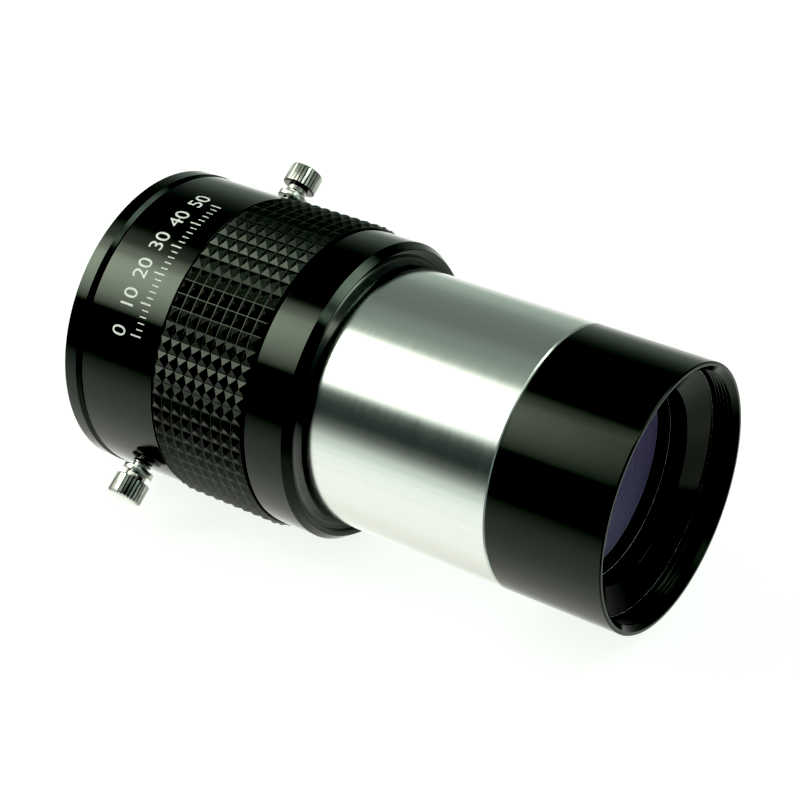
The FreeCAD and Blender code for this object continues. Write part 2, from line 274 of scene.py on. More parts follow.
def helix_rows(x_from, x_to, crest, root, pitch, step=0.04, segments=SEGMENTS):
    """Rows of a screw thread with a rounded form that runs out smoothly at both ends."""
    turn = np.arange(segments) / segments
    count = int(abs(x_to - x_from) / step)
    rows = []
    for i in range(count + 1):
        x = x_from + (x_to - x_from) * i / count
        phase = (x / pitch - turn) % 1.0
        ridge = 0.5 - 0.5 * np.cos(2 * math.pi * phase)
        fade = min(1.0, min(i, count - i) * abs(x_to - x_from) / count / (0.5 * pitch))
        rows.append((x, crest + (root - crest) * ridge * fade))
    return rows


def join_meshes(name, pieces):
    """One object from several, which are removed. Materials are given afterwards."""
    bm = bmesh.new()
    for piece in pieces:
        bm.from_mesh(piece.data)
    mesh = bpy.data.meshes.new(name)
    bm.to_mesh(mesh)
    bm.free()
    for piece in pieces:
        bpy.data.objects.remove(piece)
    return new_object(name, mesh)


def cut(piece, cutter):
    """Takes the cutter's shape out of the piece and removes the cutter."""
    boolean = piece.modifiers.new("cut", "BOOLEAN")
    boolean.operation = "DIFFERENCE"
    boolean.solver = "EXACT"
    boolean.object = cutter
    evaluated = piece.evaluated_get(bpy.context.evaluated_depsgraph_get())
    mesh = bpy.data.meshes.new_from_object(evaluated)
    piece.modifiers.clear()
    piece.data = mesh
    bpy.data.objects.remove(cutter)
    mesh.shade_smooth()
    mesh.set_sharp_from_angle(angle=math.radians(SHARP_DEG))
    return piece


def stand(piece, name):
    """Turns a piece built along +X so that it stands out of the housing at one screw."""
    a = math.radians(SCREW_DEG[name])
    outward = Vector((0, math.cos(a), math.sin(a)))
    side = Vector((1, 0, 0))
    across = outward.cross(side)
    place = Matrix((outward, across, side)).transposed().to_4x4()
    place.translation = Vector((SCREW_X * MM, 0, 0))
    piece.data.transform(place)
    return piece


# ---- node helpers ---------------------------------------------------------------------
MIX_FIRST, MIX_SECOND, MIX_COLOUR = 6, 7, 2     # the Mix node's colour sockets


class Nodes:
    """A node tree, with short ways to add nodes to it."""

    def __init__(self, tree):
        self.tree = tree

    def node(self, kind, **settings):
        made = self.tree.nodes.new(kind)
        for key, value in settings.items():
            setattr(made, key, value)
        return made

    def link(self, source, target):
        self.tree.links.new(source, target)

    def ramp(self, source, stops):
        """Colour by a value, from (position, colour) stops."""
        made = self.node("ShaderNodeValToRGB")
        elements = made.color_ramp.elements
        while len(elements) < len(stops):
            elements.new(0.5)
        for element, (position, colour) in zip(elements, stops):
            element.position = position
            element.color = (*colour, 1)
        self.link(source, made.inputs["Fac"])
        return made.outputs["Color"]

    def map_range(self, source, from_low, from_high, to_low=0.0, to_high=1.0, smooth=False):
        made = self.node("ShaderNodeMapRange")
        made.interpolation_type = "SMOOTHSTEP" if smooth else "LINEAR"
        made.inputs["From Min"].default_value = from_low
        made.inputs["From Max"].default_value = from_high
        made.inputs["To Min"].default_value = to_low
        made.inputs["To Max"].default_value = to_high
        self.link(source, made.inputs["Value"])
        return made.outputs["Result"]

    def mix(self, factor, first, second, blend="MIX"):
        """Two colours, each a plain tuple or another node's output."""
        made = self.node("ShaderNodeMix", data_type="RGBA", blend_type=blend)
        self.link(factor, made.inputs["Factor"])
        for socket, value in ((MIX_FIRST, first), (MIX_SECOND, second)):
            if isinstance(value, tuple):
                made.inputs[socket].default_value = (*value, 1)
            else:
                self.link(value, made.inputs[socket])
        return made.outputs[MIX_COLOUR]


class Surface(Nodes):
    """A Principled material. Named values go straight to the shader's sockets."""

    def __init__(self, name, **values):
        self.material = bpy.data.materials.new(name)
        self.material.use_nodes = True
        super().__init__(self.material.node_tree)
        self.shader = self.tree.nodes["Principled BSDF"]
        for socket, value in values.items():
            self.shader.inputs[socket.replace("_", " ")].default_value = value
        self.place = self.node("ShaderNodeTexCoord").outputs["Object"]

    def stretched(self, scale):
        mapping = self.node("ShaderNodeMapping")
        mapping.inputs["Scale"].default_value = scale
        self.link(self.place, mapping.inputs["Vector"])
        return mapping.outputs["Vector"]

    def noise(self, scale, detail=3.0, rough=0.55, at=None):
        made = self.node("ShaderNodeTexNoise")
        made.inputs["Scale"].default_value = scale
        made.inputs["Detail"].default_value = detail
        made.inputs["Roughness"].default_value = rough
        self.link(at or self.place, made.inputs["Vector"])
        return made.outputs["Fac"]

    def colour(self, source):
        self.link(source, self.shader.inputs["Base Color"])

    def colours(self, source, first, second, low=0.3, high=0.7):
        """Base colour between two colours, where the source runs from low to high."""
        self.colour(self.ramp(source, [(low, first), (high, second)]))

    def roughness(self, source, low, high):
        """Roughness between two values, over the middle of the source's range."""
        self.link(self.map_range(source, 0.3, 0.7, low, high), self.shader.inputs["Roughness"])

    def bump(self, *layers):
        """Layers of (height, strength, distance in millimetres), coarse first."""
        normal = None
        for height, strength, distance in layers:
            made = self.node("ShaderNodeBump")
            made.inputs["Strength"].default_value = strength
            made.inputs["Distance"].default_value = distance * MM
            self.link(height, made.inputs["Height"])
            if normal:
                self.link(normal, made.inputs["Normal"])
            normal = made.outputs["Normal"]
        self.link(normal, self.shader.inputs["Normal"])


# ---- materials ------------------------------------------------------------------------
COOL_SHEEN = (0.86, 1.0, 0.86, 1)       # the slightly green gloss of the black parts


def black_anodised():
    """Polished black anodising with faint turning marks and a trace of handling."""
    s = Surface("black_anodised", Specular_IOR_Level=0.38, Specular_Tint=COOL_SHEEN)
    marks = s.noise(1.0, 4.0, at=s.stretched((5200, 60, 60)))
    haze = s.noise(90, 4.0)
    s.colours(haze, (0.0012, 0.0017, 0.0014), (0.0022, 0.0030, 0.0025))
    s.roughness(marks, 0.08, 0.13)
    s.bump((haze, 0.03, 0.3), (marks, 0.16, 0.01))
    return s.material


def matte_black():
    """Flat black inside the light path."""
    s = Surface("matte_black", Specular_IOR_Level=0.3)
    grain = s.noise(9000, 2.0)
    s.colours(grain, (0.020, 0.020, 0.020), (0.032, 0.032, 0.031))
    s.roughness(grain, 0.5, 0.65)
    s.bump((grain, 0.3, 0.01))
    return s.material


def satin_black():
    """Satin black anodising with fine turning marks, for the bores."""
    s = Surface("satin_black", Specular_IOR_Level=0.5)
    marks = s.noise(1.0, 4.0, at=s.stretched((3500, 30, 30)))
    cloud = s.noise(80, 3.0)
    s.colours(cloud, (0.045, 0.046, 0.046), (0.062, 0.064, 0.064))
    s.roughness(marks, 0.32, 0.45)
    s.bump((marks, 0.8, 0.04))
    return s.material


def grip_rubber():
    """Moulded rubber with a fine skin and faint lighter clouds."""
    s = Surface("grip_rubber", Specular_IOR_Level=0.35, Specular_Tint=COOL_SHEEN)
    skin = s.noise(4200, 4.0, 0.65)
    cloud = s.noise(120, 2.0)
    s.colours(cloud, (0.0030, 0.0038, 0.0032), (0.0050, 0.0060, 0.0052))
    s.roughness(skin, 0.22, 0.34)
    s.bump((skin, 0.45, 0.03))
    return s.material


def bright_barrel():
    """Bright turned tube: fine marks round it and a few soft streaks along it."""
    s = Surface("bright_barrel", Metallic=1.0)
    marks = s.noise(1.0, 5.0, at=s.stretched((7000, 40, 40)))
    streaks = s.noise(1.0, 3.0, at=s.stretched((6, 900, 900)))
    s.colours(streaks, (0.77, 0.79, 0.77), (0.82, 0.835, 0.82))
    s.roughness(marks, 0.13, 0.20)
    s.bump((streaks, 0.05, 0.02), (marks, 0.30, 0.01))
    return s.material


def chrome():
    """Dull plating, with painted shade in the flute valleys and under the head, which the piece
    marks with its own attribute.
    """
    s = Surface("chrome_screws", Metallic=1.0)
    tarnish = s.noise(900, 3.0)
    plating = s.ramp(tarnish, [(0.3, (0.50, 0.505, 0.48)), (0.7, (0.62, 0.625, 0.59))])
    valley_shade = s.node("ShaderNodeAttribute", attribute_name="valley_shade").outputs["Fac"]
    # painted shade: the plating turns near black down in the flutes and under the head
    s.colour(s.mix(valley_shade, plating, (0.035, 0.034, 0.030)))
    s.roughness(tarnish, 0.10, 0.20)
    s.bump((s.noise(5000, 2.0), 0.05, 0.01))
    return s.material


def brass():
    """Turned brass, a little tarnished."""
    s = Surface("brass", Metallic=0.85)
    marks = s.noise(1.0, 4.0, at=s.stretched((6000, 50, 50)))
    cloud = s.noise(140, 3.0)
    s.colours(cloud, (0.62, 0.44, 0.17), (0.78, 0.58, 0.27))
    s.roughness(marks, 0.32, 0.46)
    s.bump((marks, 1.0, 0.08))
    return s.material


def coated_glass(name, tint, reflection):
    """Lens glass with an anti-reflection coating, which colours what it reflects. The base colour
    is the glass's tint and also a painted sheen: the light that isn't transmitted shows it as a
    diffuse colour, standing in for the coating's coloured reflection.
    """
    s = Surface(name, Transmission_Weight=0.72, IOR=1.52, Roughness=0.03, Specular_IOR_Level=0.15)
    s.shader.inputs["Specular Tint"].default_value = (*reflection, 1)
    film = s.noise(60, 2.0)
    # painted reflection: the untransmitted part of the glass is a diffuse tinted surface, for the
    # coating's colour
    s.colour(s.mix(film, tint, tuple(0.92 * c for c in tint)))
    s.bump((s.noise(40, 1.0), 0.01, 0.05))
    return s.material


def ground_glass():
    """The unpolished rim of a lens."""
    s = Surface("ground_glass", Roughness=0.9, Specular_IOR_Level=0.2)
    grain = s.noise(5000, 2.0)
    s.colours(grain, (0.40, 0.39, 0.50), (0.50, 0.48, 0.60))
    s.bump((grain, 0.3, 0.01))
    return s.material


def worn_edge_highlight():
    """Anodising rubbed thin on a sharp edge, so that bare metal starts to show, painted light grey
    so that the edge reads as a thin bright line: a painted highlight.
    """
    s = Surface("worn_edge_highlight", Metallic=0.4, Specular_IOR_Level=0.4)
    wear_glint = s.noise(700, 4.0)
    s.colours(wear_glint, (0.24, 0.245, 0.23), (0.60, 0.61, 0.58), 0.35, 0.65)
    s.roughness(wear_glint, 0.45, 0.30)
    s.bump((wear_glint, 0.2, 0.01))
    return s.material


def scale_paint():
    """Off-white paint of the numbers and ticks."""
    s = Surface("scale_paint", Specular_IOR_Level=0.4)
    grain = s.noise(4000, 3.0)
    s.colours(grain, (0.66, 0.66, 0.64), (0.80, 0.80, 0.78))
    s.roughness(grain, 0.40, 0.55)
    s.bump((grain, 0.15, 0.01))
    return s.material


# ---- pieces ---------------------------------------------------------------------------
def finish_piece(piece, body, material, slot, *nodes):
    """Material, body, material slot (not used), and the CAD nodes that the piece stands for."""
    piece.data.materials.clear()
    piece.data.materials.append(material)
    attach(piece, body)
    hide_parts(*nodes)
    return piece


def second_material(piece, material, *zones):
    """Second material for faces whose middle lies in a zone, between two (x, r) corners."""
    piece.data.materials.append(material)
    for face in piece.data.polygons:
        x, r = face.center.x / MM, math.hypot(face.center.y, face.center.z) / MM
        for low, high in zones:
            if low[0] < x < high[0] and low[1] < r < high[1]:
                face.material_index = 1


def lens_cell():
    edge = 0.12
    thread_back = RELIEF_X + 0.15
    thread_front = TIP_X - RIM_CHAMFER
    shoulder_x = REAR_LENS_BACK_X
    relief_back = RETAINER_FRONT_X
    outside = rounded([
        (CELL_SPIGOT_X, CELL_SHOULDER_R), (CELL_SPIGOT_X, SPIGOT_R, 0.2), (CELL_BACK_X, SPIGOT_R),
        (CELL_BACK_X, BARREL_R, edge), (TIP_X, BARREL_R, 0.3),
        (TIP_X, FILTER_CREST_R + RIM_CHAMFER, edge), (thread_front, FILTER_CREST_R)], closed=False)
    thread = helix_rows(thread_front, thread_back, FILTER_CREST_R, FILTER_ROOT_R, FILTER_PITCH)[1:]
    inside = rounded([
        (thread_back, FILTER_CREST_R), (RELIEF_X, FILTER_CREST_R, 0.05), (RELIEF_X, RELIEF_R, 0.05),
        (relief_back, RELIEF_R, 0.05), (relief_back, FILTER_ROOT_R),
        (RETAINER_BACK_X, FILTER_ROOT_R), (RETAINER_BACK_X, POCKET_R), (shoulder_x, POCKET_R),
        (shoulder_x, CELL_SHOULDER_R), (CELL_SPIGOT_X, CELL_SHOULDER_R)], closed=False)
    return even_shading(turn_rows("lens_cell_finished", outside + thread + inside[1:-1]))


def spanner_slot(degrees):
    """Cutter for one slot in the retaining ring's face."""
    width, depth, inner, outer = 1.6, 1.4, 20.6, 24.3
    a = math.radians(degrees)
    corners = [(x, r * math.cos(a) - side * math.sin(a), r * math.sin(a) + side * math.cos(a))
               for x in (RETAINER_FRONT_X - depth, RETAINER_FRONT_X + 1)
               for side in (-width / 2, width / 2) for r in (inner, outer)]
    return mesh_object("spanner_slot", corners, BLOCK_FACES)


def lens_retaining_ring():
    groove, groove_r = 0.05, RETAINER_BORE_R + 0.03
    flange_x = RETAINER_BACK_X + RETAINER_FLANGE
    bore = []
    for x in RETAINER_GROOVES_X:
        bore += [(x + groove, RETAINER_BORE_R), (x, groove_r), (x - groove, RETAINER_BORE_R)]
    ring = turned("lens_retaining_ring_finished", [
        (RETAINER_FRONT_X, FILTER_ROOT_R), (RETAINER_FRONT_X, RETAINER_RIM_R, 0.14),
        (RETAINER_THROAT_X, RETAINER_BORE_R, 0.15), *bore,
        (RETAINER_BACK_X + WORN_HIGHLIGHT_STRIP, RETAINER_BORE_R), (RETAINER_BACK_X, RETAINER_BORE_R),
        (RETAINER_BACK_X, LENS_R), (flange_x, LENS_R), (flange_x, FILTER_ROOT_R)])
    for degrees in SPANNER_SLOT_DEG:
        cut(ring, spanner_slot(degrees))
    return ring


def lens_seat_ring():
    return turned("lens_seat_ring_finished", [
        (SEAT_FRONT_X, LENS_R), (SEAT_FRONT_X, SEAT_FRONT_BORE_R, 0.06),
        (SEAT_BACK_X + LENS_GAP, SEAT_BACK_BORE_R, 0.08), (SEAT_BACK_X + LENS_GAP, LENS_R)])


def dish(r_edge, curvature):
    """Depth of a spherical surface between its vertex and a radius."""
    return curvature - math.sqrt(curvature ** 2 - r_edge ** 2)


def near_axis(points):
    """Surface points from just off the axis outwards, so that a cap closes the middle."""
    return [(x, max(r, LENS_CAP_R)) for x, r in points]


def front_lens_element():
    vertex = SEAT_BACK_X - dish(SEAT_BACK_BORE_R, FRONT_R1)
    back_vertex = LENS_BACK_X + dish(POLISHED_R, FRONT_R2)
    front = near_axis(arc_points(vertex + FRONT_R1, FRONT_R1, 0, SEAT_BACK_BORE_R, -1))
    back = near_axis(arc_points(back_vertex - FRONT_R2, FRONT_R2, POLISHED_R, 0, 1))
    rim = rounded([(SEAT_BACK_X, SEAT_BACK_BORE_R), (SEAT_BACK_X, LENS_R, 0.2),
                   (LENS_BACK_X, LENS_R, 0.2), (LENS_BACK_X, POLISHED_R)], closed=False)
    rows = front + rim[1:-1] + back
    return turn_rows("front_lens_element_finished", rows, closed=False, segments=LENS_SEGMENTS)


def rear_lens_element():
    rim_x = LENS_BACK_X - SPACER_THICKNESS
    vertex = rim_x + dish(POLISHED_R, REAR_R3)
    back_vertex = REAR_LENS_BACK_X + dish(LENS_R, REAR_R4)
    front = near_axis(arc_points(vertex - REAR_R3, REAR_R3, 0, POLISHED_R, 1))
    back = near_axis(arc_points(back_vertex - REAR_R4, REAR_R4, LENS_R, 0, 1))
    rim = rounded([(rim_x, POLISHED_R), (rim_x, LENS_R, 0.2), back[0]], closed=False)
    rows = front + rim[1:-1] + back
    return turn_rows("rear_lens_element_finished", rows, closed=False, segments=LENS_SEGMENTS)


def lens_spacer_ring():
    front, back = LENS_BACK_X - LENS_GAP, LENS_BACK_X - SPACER_THICKNESS + LENS_GAP
    return turned("lens_spacer_ring_finished", [
        (front, LENS_R), (front, POLISHED_R, 0.04), (back, POLISHED_R, 0.04), (back, LENS_R)])


def barrel_tube():
    return turned("barrel_tube_finished", [
        (CELL_BACK_X, SPIGOT_R), (CELL_BACK_X, BARREL_R - TUBE_CHAMFER, 0.08),
        (CELL_BACK_X - TUBE_CHAMFER, BARREL_R, 0.10), (COLLAR_FACE_X, BARREL_R),
        (COLLAR_FACE_X, BARREL_THREAD_R), (TUBE_BACK_X, BARREL_THREAD_R, 0.15),
        (TUBE_BACK_X, TUBE_BORE_R, 0.15), (CELL_SPIGOT_X, TUBE_BORE_R), (CELL_SPIGOT_X, SPIGOT_R)])


def light_baffle():
    return turned("light_baffle_finished", [
        (BAFFLE_FRONT_X, TUBE_BORE_R), (BAFFLE_FRONT_X, BAFFLE_APERTURE_R + BAFFLE_TAPER, 0.1),
        (BAFFLE_BACK_X + BAFFLE_LIP, BAFFLE_APERTURE_R), (BAFFLE_BACK_X, BAFFLE_APERTURE_R),
        (BAFFLE_BACK_X, TUBE_BORE_R)])


def screw_hole(name):
    """Cutter for a thumbscrew's hole, countersunk at the housing's surface."""
    start, outside = COUNTERBORE_R - 1, BAND_R + 1
    mouth = SCREW_HOLE_R + SCREW_HOLE_SINK
    rows = [(start, SCREW_HOLE_R), (BAND_R - SCREW_HOLE_SINK, SCREW_HOLE_R),
            (BAND_R, mouth), (outside, mouth)]
    hole = turn_rows("screw_hole", rows, closed=False, segments=HOLE_SEGMENTS)
    return stand(hole, name)


def housing():
    edge = 0.14
    body = turned("housing_finished", [
        (COLLAR_FACE_X, BARREL_THREAD_R), (COLLAR_FACE_X, COLLAR_FACE_R, 0.2),
        (COLLAR_CHAMFER_X, COLLAR_R, 0.12), (CHANNEL_FRONT_X, COLLAR_R, edge),
        (CHANNEL_FRONT_X, CHANNEL_R), (CHANNEL_BACK_X, CHANNEL_R), (CHANNEL_BACK_X, BAND_R, edge),
        (HOUSING_BACK_X, BAND_R, edge), (HOUSING_BACK_X, COUNTERBORE_R, 0.1),
        (CLAMP_FRONT_X, COUNTERBORE_R), (CLAMP_FRONT_X, SOCKET_R, 0.15), (SOCKET_STOP_X, SOCKET_R),
        (SOCKET_STOP_X, SOCKET_STOP_R, 0.15), (TUBE_BACK_X, SOCKET_STOP_R),
        (TUBE_BACK_X, BARREL_THREAD_R)])
    for name in SCREW_DEG:
        cut(body, screw_hole(name))
    return even_shading(body)


class GripField:
    """Rubber sleeve with rows of pyramids, each with a small worn flat on its peak."""

    GROOVE = 0.08           # half width of the strip between two pyramids
    FLAT = 0.06             # half width of the flat on a peak
    END_DROP = 0.25         # how far the sleeve's two ends fall away
    PEAK_DROP = 0.04        # how far the flats lie below the CAD's peaks

    def __init__(self):
        self.vertices, self.faces = [], []
        step = 2 * math.pi / GRIP_ROWS
        pitch = (GRIP_FRONT_X - GRIP_BACK_X) / GRIP_COLUMNS
        edge = self.GROOVE / GRIP_BASE_R
        self.angles = []
        for row in range(GRIP_ROWS):
            a = math.radians(GRIP_FIRST_GROOVE) + row * step
            self.angles += [a + edge, a + step - edge]
        stations = [(GRIP_FRONT_X, GRIP_BASE_R - self.END_DROP)]
        for column in range(GRIP_COLUMNS):
            x = GRIP_FRONT_X - column * pitch
            stations += [(x - self.GROOVE, GRIP_BASE_R), (x - pitch + self.GROOVE, GRIP_BASE_R)]
        stations += [(GRIP_BACK_X, GRIP_BASE_R - self.END_DROP), (GRIP_BACK_X, CHANNEL_R),
                     (GRIP_FRONT_X, CHANNEL_R)]
        self.rings = [[self.point(x, r, a) for a in self.angles] for x, r in stations]
        for i in range(len(stations)):
            for j in range(len(self.angles)):
                if i < 2 * GRIP_COLUMNS and i % 2 == 1 and j % 2 == 0:
                    self.pyramid(stations[i][0], stations[i + 1][0], i, j)
                else:
                    self.faces.append(self.patch(i, j))

    def point(self, x, r, a):
        self.vertices.append((x, r * math.cos(a), r * math.sin(a)))
        return len(self.vertices) - 1

    def patch(self, i, j):
        k, after = (j + 1) % len(self.angles), (i + 1) % len(self.rings)
        return (self.rings[i][j], self.rings[i][k], self.rings[after][k], self.rings[after][j])

    def pyramid(self, front, back, i, j):
        middle_x = (front + back) / 2
        middle = (self.angles[j] + self.angles[j + 1]) / 2
        turn = self.FLAT / GRIP_PEAK_R
        top = [self.point(x, GRIP_PEAK_R - self.PEAK_DROP, a) for x, a in (
            (middle_x + self.FLAT, middle - turn), (middle_x + self.FLAT, middle + turn),
            (middle_x - self.FLAT, middle + turn), (middle_x - self.FLAT, middle - turn))]
        foot = self.patch(i, j)
        for n in range(4):
            m = (n + 1) % 4
            self.faces.append((foot[n], foot[m], top[m], top[n]))
        self.faces.append(tuple(top))


def grip_sleeve():
    field = GripField()
    return mesh_object("grip_sleeve_finished", field.vertices, field.faces, sharp_deg=12)


def compression_ring():
    """Split ring: an arc of the ring's section, closed by two end faces."""
    edge = 0.2
    section = rounded([
        (CLAMP_FRONT_X, CLAMP_RING_R, edge), (CLAMP_FRONT_X, SOCKET_R, edge),
        (CLAMP_BACK_X, SOCKET_R, edge), (CLAMP_BACK_X, CLAMP_RING_R, edge)])
    start = math.radians(CLAMP_GAP_AT + CLAMP_GAP / 2)
    sweep = math.radians(360 - CLAMP_GAP)
    steps, n = 240, len(section)
    vertices = []
    for i in range(steps + 1):
        a = start + sweep * i / steps
        vertices += [(x, r * math.cos(a), r * math.sin(a)) for x, r in section]
    faces = []
    for i in range(steps):
        for j in range(n):
            k = (j + 1) % n
            faces.append((i * n + j, i * n + k, (i + 1) * n + k, (i + 1) * n + j))
    faces += [tuple(range(n)), tuple(range(steps * n, (steps + 1) * n))[::-1]]
    return even_shading(mesh_object("compression_ring_finished", vertices, faces))


def end_ring():
    edge = 0.18
    return turned("end_ring_finished", [
        (END_NOSE_X, SOCKET_R, 0.1), (END_NOSE_X, COUNTERBORE_R), (END_RING_FRONT_X, COUNTERBORE_R),
        (END_RING_FRONT_X, END_RING_FRONT_R, 0.08), (END_RING_SHOULDER_X, END_RING_R, 0.12),
        (END_BACK_X, END_RING_R, edge), (END_BACK_X, SOCKET_R + END_RING_LEAD_IN, 0.1),
        (END_BACK_X + END_RING_LEAD_IN, SOCKET_R, 0.15)])


def fluted_rows(bottom, segments):
    """Rows of the thumbscrew's head: rounded ridges, run out at a bevel at both ends."""
    turn = np.arange(segments) * 2 * math.pi / segments
    ridge = np.clip(FLUTE_GAIN * np.abs(np.cos(turn * HEAD_FLUTES / 2)), 0, 1)
    flutes = HEAD_FLUTE_R + (HEAD_R - HEAD_FLUTE_R) * ridge
    top = bottom + HEAD_HEIGHT
    bevels = [(bottom + up, drop) for up, drop in HEAD_FOOT_BEVEL]
    bevels += [(top - down, drop) for down, drop in HEAD_TOP_BEVEL]
    rows = [(x, np.minimum(flutes, HEAD_R - drop)) for x, drop in bevels]
    return rows + [(top, r) for r in HEAD_TOP_RINGS]


def thumbscrew(name):
    segments = HEAD_FLUTES * HEAD_FLUTE_FACETS
    bottom = HEAD_BOTTOM[name]
    neck_end = bottom - NECK_LENGTH
    thread_top = neck_end - GROOVE_LENGTH
    tip = thread_top - THREAD_LENGTH
    shank = tip + POINT_LENGTH
    stem = rounded([(tip, 0.2), (tip, POINT_R, 0.15), (shank, THREAD_R),
                    (shank + THREAD_LEAD, THREAD_R)], closed=False)
    thread = helix_rows(shank + THREAD_LEAD, thread_top - THREAD_LEAD, THREAD_R,
                        THREAD_R - THREAD_DEPTH, THREAD_PITCH, segments=segments)
    neck = rounded([
        (thread_top - THREAD_LEAD, THREAD_R), (thread_top, THREAD_R - THREAD_LEAD),
        (thread_top, GROOVE_R), (neck_end, GROOVE_R), (neck_end, NECK_R, 0.1), (bottom, NECK_R),
        (bottom, NECK_R + 0.5)], closed=False)
    rows = stem[:-1] + thread + neck[1:] + fluted_rows(bottom, segments)
    screw = turn_rows("thumbscrew_" + name + "_finished", rows, closed=False, segments=segments)
    paint_valley_shade(screw, bottom)
    return even_shading(stand(screw, name))


def paint_valley_shade(screw, bottom):
    """Stores how deep each point of the head lies in a flute, for the painted shade in the plating;
    the head's underside gets painted shade too.
    """
    # painted shade: strong under the head, and darker the deeper a point lies in a flute
    underside_shade, most_valley_shade, gain, shade_start = 0.9, 0.6, 1.6, 0.3
    valley_shade = screw.data.attributes.new("valley_shade", "FLOAT", "POINT")
    for point, entry in zip(screw.data.vertices, valley_shade.data):
        x, r = point.co.x / MM, math.hypot(point.co.y, point.co.z) / MM
        depth = (HEAD_R - r) / (HEAD_R - HEAD_FLUTE_R)
        if bottom - 0.01 < x < bottom + 0.1:
            entry.value = underside_shade
        elif bottom < x < bottom + HEAD_HEIGHT - 0.2:
            entry.value = min(most_valley_shade, max(0.0, gain * depth - shade_start))


def thumbscrew_washer(name):
    top = WASHER_TOP[name]
    bottom = top - WASHER_THICKNESS
    ring = turned("thumbscrew_washer_" + name + "_finished", [
        (bottom, WASHER_BORE_R, 0.08), (bottom, WASHER_R, 0.15), (top, WASHER_R, 0.15),
        (top, WASHER_BORE_R, 0.08)], segments=WASHER_SEGMENTS)
    return stand(ring, name)


# ---- graduated scale on the rear band -------------------------------------------------
SCALE_START = 154.0         # the zero mark, in degrees round the axis
SCALE_STEP = 12.0           # degrees between numbered marks
SCALE_NUMBERS = 6
SCALE_PAINT = 0.02          # thickness of the paint
PAINT_SINK = 0.01           # how far the paint's back lies under the surface
NUMERAL_X = -39.8           # foot of the numerals
NUMERAL_HEIGHT = 3.1
NUMERAL_SHARE = 0.7         # a numeral's height in a font of size 1
SLICE = 0.4                 # numerals are cut at this step, so that they bend round the band
TICK_X = -36.0              # front end of the tick marks
TICKS_PER_NUMBER = 5
LONG_TICK, SHORT_TICK = (2.4, 0.30), (1.5, 0.22)    # length and width


def wrapped(points):
    """Flat (along, up, thickness) points laid on the band. Along runs against the angles."""
    laid = []
    for along, x, lift in points:
        a = along / BAND_R
        r = BAND_R - PAINT_SINK + lift
        laid.append((x, r * math.cos(a), r * math.sin(a)))
    return laid


def tick(degrees, length, width):
    """One painted line along the axis, as a thin bent block."""
    middle = math.radians(degrees) * BAND_R
    points = []
    for lift in (0, SCALE_PAINT + PAINT_SINK):
        for along in (middle - width / 2, middle + width / 2):
            points += [(along, TICK_X, lift), (along, TICK_X - length, lift)]
    return mesh_object("tick", wrapped(points), BLOCK_FACES)


def flat_numeral(text):
    """A number as a thin flat mesh, centred on the origin, and its half thickness."""
    curve = bpy.data.curves.new("numeral", "FONT")
    curve.body = text
    curve.size = NUMERAL_HEIGHT / NUMERAL_SHARE
    curve.align_x = "CENTER"
    curve.extrude = (SCALE_PAINT + PAINT_SINK) / 2
    curve.resolution_u = 6
    writing = new_object("numeral_flat", curve)
    bpy.context.view_layer.update()
    evaluated = writing.evaluated_get(bpy.context.evaluated_depsgraph_get())
    mesh = bpy.data.meshes.new_from_object(evaluated)
    bpy.data.objects.remove(writing)
    return mesh, curve.extrude


def numeral(text, degrees):
    """A number whose top points at the end ring, wrapped round the band."""
    mesh, half_thickness = flat_numeral(text)
    bm = bmesh.new()
    bm.from_mesh(mesh)
    bmesh.ops.remove_doubles(bm, verts=bm.verts, dist=1e-5)
    for i in range(-8, 9):
        everything = bm.verts[:] + bm.edges[:] + bm.faces[:]
        bmesh.ops.bisect_plane(bm, geom=everything, plane_co=(SLICE * i, 0, 0), plane_no=(1, 0, 0))
    middle = math.radians(degrees) * BAND_R
    flat = [(middle - v.co.x, NUMERAL_X - v.co.y, v.co.z + half_thickness) for v in bm.verts]
    for v, place in zip(bm.verts, wrapped(flat)):
        v.co = Vector(place) * MM
    bmesh.ops.recalc_face_normals(bm, faces=bm.faces)
    bm.to_mesh(mesh)
    bm.free()
    return new_object("numeral_" + text, mesh)


def band_scale():
    marks = []
    for i in range(SCALE_NUMBERS):
        marks.append(numeral(str(10 * i), SCALE_START - i * SCALE_STEP))
    for i in range((SCALE_NUMBERS - 1) * TICKS_PER_NUMBER + 1):
        degrees = SCALE_START - i * SCALE_STEP / TICKS_PER_NUMBER
        length, width = SHORT_TICK if i % TICKS_PER_NUMBER else LONG_TICK
        marks.append(tick(degrees, length, width))
    return join_meshes("band_scale", marks)


# ---- the whole object -----------------------------------------------------------------
def make_materials():
    return {
        "black": black_anodised(), "matte": matte_black(), "rubber": grip_rubber(),
        "bright": bright_barrel(), "plated": chrome(), "brass": brass(),
        # worn: light grey bare-metal edges, a painted highlight
        "ground": ground_glass(), "worn": worn_edge_highlight(), "satin": satin_black(),
        "violet": coated_glass("coated_glass_front", (0.34, 0.315, 0.50), (0.62, 0.50, 1.0)),
        "pale": coated_glass("coated_glass_rear", (0.70, 0.76, 0.80), (0.55, 0.85, 0.75))}


def fixed(piece, material, slot, node):
    """A piece that doesn't move against the housing."""
    return finish_piece(piece, "barlow", material, slot, node)


